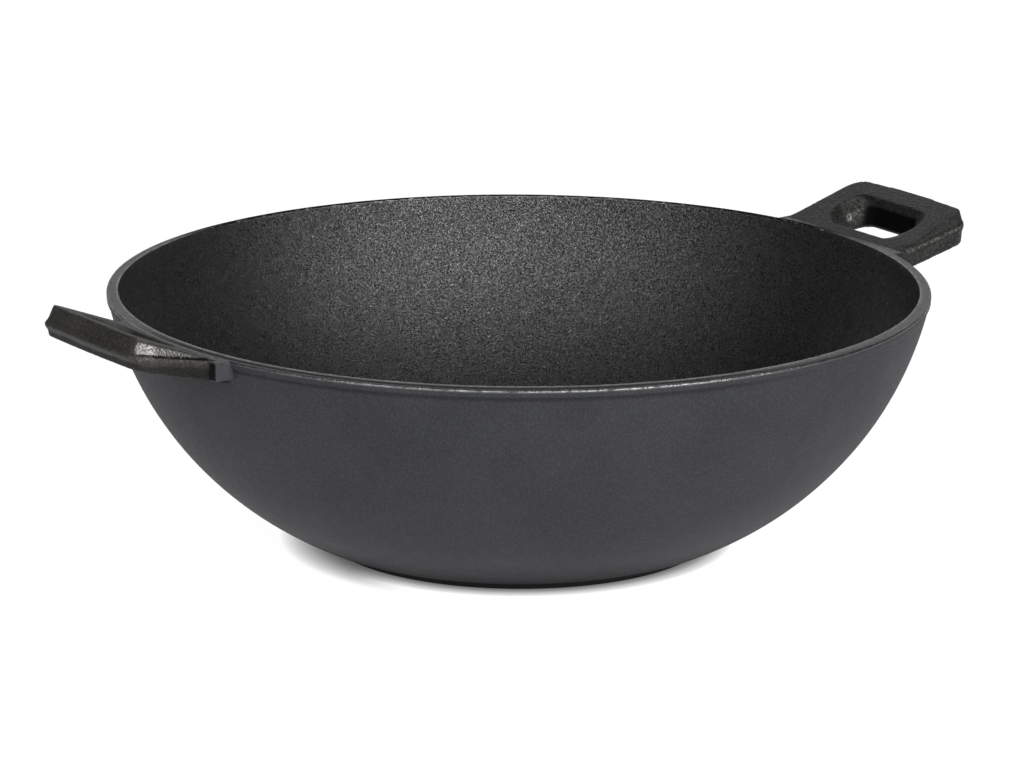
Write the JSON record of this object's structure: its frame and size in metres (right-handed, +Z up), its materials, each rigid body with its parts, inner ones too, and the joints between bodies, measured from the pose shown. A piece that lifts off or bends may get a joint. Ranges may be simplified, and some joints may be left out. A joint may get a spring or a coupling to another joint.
{
  "type": "grill wok",
  "caption": "Cast-iron grill wok: a round bowl with a curved side, flat cooking floor and beaded rim, on a low foot ring, with a rising loop handle on each side.",
  "frame": {"origin": "middle of the foot ring, on the surface that the wok stands on", "axes": "+X through the middle of the right handle, +Z up out of the bowl's mouth"},
  "size_m": [0.44, 0.36, 0.1272],
  "materials": {
    "bowl_iron": "satin blue-grey seasoned iron with a fine sand-cast grain, worn bright along the rim",
    "foot_iron": "matt black iron",
    "handle_iron": "satin brown-black iron, worn bright along its edges"
  },
  "bodies": {
    "root": {"bowl": "bowl_iron", "foot_ring": "foot_iron", "right_handle": "handle_iron", "left_handle": "handle_iron"}
  },
  "joints": []
}
